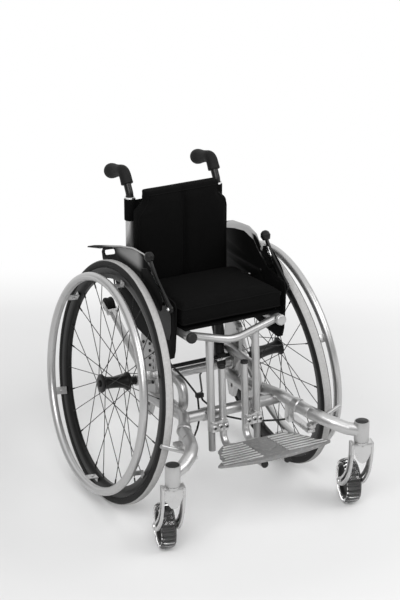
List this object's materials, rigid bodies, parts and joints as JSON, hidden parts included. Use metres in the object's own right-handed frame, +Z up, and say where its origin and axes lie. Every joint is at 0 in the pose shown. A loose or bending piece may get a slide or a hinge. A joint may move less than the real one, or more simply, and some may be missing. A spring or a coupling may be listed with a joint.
{
  "type": "active wheelchair",
  "caption": "Child size rigid active wheelchair with cambered rear wheels, swivel casters, height-adjustable flip-up footplate, cable wheel locks, push handles and one anti-tip arm.",
  "frame": {"origin": "centre of the bounding box at floor level", "axes": "+Z up, the chair's front toward -Y, the user's right side toward -X, wheel axles along X"},
  "size_m": [0.6002, 0.7414, 0.7852],
  "materials": {
    "tyre": "pale grey tread with black side walls",
    "silver": "silver metallic paint",
    "bright": "polished",
    "black_metal": "black anodised, satin",
    "spoke": "black steel and black hub shell",
    "black_plastic": "fine grain black moulding",
    "black_rubber": "soft black rubber",
    "caster_tyre": "pale glossy polyurethane",
    "fabric": "black woven cloth"
  },
  "bodies": {
    "frame": {"axle_pin_r": "bright", "axle_pin_l": "bright", "side_frame_r": "silver", "side_frame_l": "silver", "caster_arm_r": "silver", "caster_arm_l": "silver", "caster_cap_r": "black_plastic", "caster_cap_l": "black_plastic", "hanger_tube_r": "silver", "hanger_tube_l": "silver", "foot_clamp_r": "silver", "foot_clamp_l": "silver", "rail_cap_r": "black_plastic", "rail_cap_l": "black_plastic", "seat_post_r": "black_plastic", "seat_post_l": "black_plastic", "post_clamp_r": "bright", "post_clamp_l": "bright", "side_guard_r": "black_plastic", "side_guard_l": "black_plastic", "brake_unit_r": "black_metal", "brake_unit_l": "black_metal", "brake_cable_r": "black_plastic", "brake_cable_l": "black_plastic", "camber_tube": "silver", "stabiliser_rod": "black_metal", "front_cross_tube": "silver", "seat_frame": "silver", "seat_sling": "fabric", "seat_cushion": "fabric"},
    "foot_frame": {"foot_tubes": "silver"},
    "foot_plate": {"footplate": "silver"},
    "backrest": {"back_tube_r": "silver", "back_tube_l": "silver", "back_sling": "fabric", "back_cushion": "fabric"},
    "antitip": {"antitip_arm": "silver"},
    "antitip_wheel": {"antitip_roller": "black_rubber"},
    "rear_wheel_r": {"rear_tyre_r": "tyre", "rear_rim_r": "black_metal", "rear_hub_r": "spoke", "handrim_r": "silver"},
    "caster_swivel_r": {"caster_fork_r": "silver"},
    "caster_wheel_r": {"caster_core_r": "black_plastic", "caster_tyre_r": "caster_tyre"},
    "push_handle_r": {"push_tube_r": "black_metal", "push_grip_r": "black_rubber"},
    "wheel_lock_r": {"lock_lever_r": "black_metal"},
    "brake_arm_r": {"brake_shoe_r": "silver"},
    "rear_wheel_l": {"rear_tyre_l": "tyre", "rear_rim_l": "black_metal", "rear_hub_l": "spoke", "handrim_l": "silver"},
    "caster_swivel_l": {"caster_fork_l": "silver"},
    "caster_wheel_l": {"caster_core_l": "black_plastic", "caster_tyre_l": "caster_tyre"},
    "push_handle_l": {"push_tube_l": "black_metal", "push_grip_l": "black_rubber"},
    "wheel_lock_l": {"lock_lever_l": "black_metal"},
    "brake_arm_l": {"brake_shoe_l": "silver"}
  },
  "joints": [
    {"name": "rear_wheel_spin_r", "type": "hinge", "parent": "frame", "child": "rear_wheel_r", "pos_m": [-0.21194, 0.07571, 0.29341], "axis": [-0.993, 0, 0.1181], "continuous": true},
    {"name": "caster_swivel_turn_r", "type": "hinge", "parent": "frame", "child": "caster_swivel_r", "pos_m": [-0.24964, -0.31409, 0.22], "axis": [0, 0, 1], "continuous": true},
    {"name": "caster_wheel_spin_r", "type": "hinge", "parent": "caster_swivel_r", "child": "caster_wheel_r", "pos_m": [-0.22698, -0.22647, 0.055], "axis": [0.9681, -0.2504, 0], "continuous": true},
    {"name": "push_handle_slide_r", "type": "slide", "parent": "backrest", "child": "push_handle_r", "axis": [0, 0, 1], "range_m": [0, 0.08]},
    {"name": "wheel_lock_turn_r", "type": "hinge", "parent": "frame", "child": "wheel_lock_r", "pos_m": [-0.15484, -0.11429, 0.543], "axis": [1, 0, 0], "range_deg": [0, 40]},
    {"name": "brake_arm_turn_r", "type": "hinge", "parent": "frame", "child": "brake_arm_r", "pos_m": [-0.16134, -0.23029, 0.2275], "axis": [0.4291, 0, 0.9032], "range_deg": [-8, 0]},
    {"name": "rear_wheel_spin_l", "type": "hinge", "parent": "frame", "child": "rear_wheel_l", "pos_m": [0.20926, 0.07571, 0.29341], "axis": [0.993, 0, 0.1181], "continuous": true},
    {"name": "caster_swivel_turn_l", "type": "hinge", "parent": "frame", "child": "caster_swivel_l", "pos_m": [0.24696, -0.31409, 0.22], "axis": [0, 0, 1], "continuous": true},
    {"name": "caster_wheel_spin_l", "type": "hinge", "parent": "caster_swivel_l", "child": "caster_wheel_l", "pos_m": [0.26962, -0.22647, 0.055], "axis": [0.9681, -0.2504, 0], "continuous": true},
    {"name": "push_handle_slide_l", "type": "slide", "parent": "backrest", "child": "push_handle_l", "axis": [0, 0, 1], "range_m": [0, 0.08]},
    {"name": "wheel_lock_turn_l", "type": "hinge", "parent": "frame", "child": "wheel_lock_l", "pos_m": [0.15216, -0.11429, 0.543], "axis": [1, 0, 0], "range_deg": [0, 40]},
    {"name": "brake_arm_turn_l", "type": "hinge", "parent": "frame", "child": "brake_arm_l", "pos_m": [0.15866, -0.23029, 0.2275], "axis": [-0.4291, 0, 0.9032], "range_deg": [0, 8]},
    {"name": "foot_slide", "type": "slide", "parent": "frame", "child": "foot_frame", "axis": [0, 0.0579, 0.9983], "range_m": [-0.05, 0.003]},
    {"name": "footplate_flip", "type": "hinge", "parent": "foot_frame", "child": "foot_plate", "pos_m": [-0.00134, -0.22629, 0.213], "axis": [-1, 0, 0], "range_deg": [0, 88]},
    {"name": "backrest_angle", "type": "hinge", "parent": "frame", "child": "backrest", "pos_m": [-0.00134, 0.17071, 0.475], "axis": [1, 0, 0], "range_deg": [-15, 2]},
    {"name": "antitip_swing", "type": "hinge", "parent": "frame", "child": "antitip", "pos_m": [-0.11484, 0.12121, 0.29], "axis": [-1, 0, 0], "range_deg": [0, 90]},
    {"name": "antitip_roll", "type": "hinge", "parent": "antitip", "child": "antitip_wheel", "pos_m": [-0.11484, 0.30717, 0.39181], "axis": [1, 0, 0], "continuous": true}
  ],
  "couplings": [
    {"joint": "brake_arm_turn_r", "follows": "wheel_lock_turn_r", "ratio": -0.2},
    {"joint": "brake_arm_turn_l", "follows": "wheel_lock_turn_l", "ratio": 0.2}
  ]
}
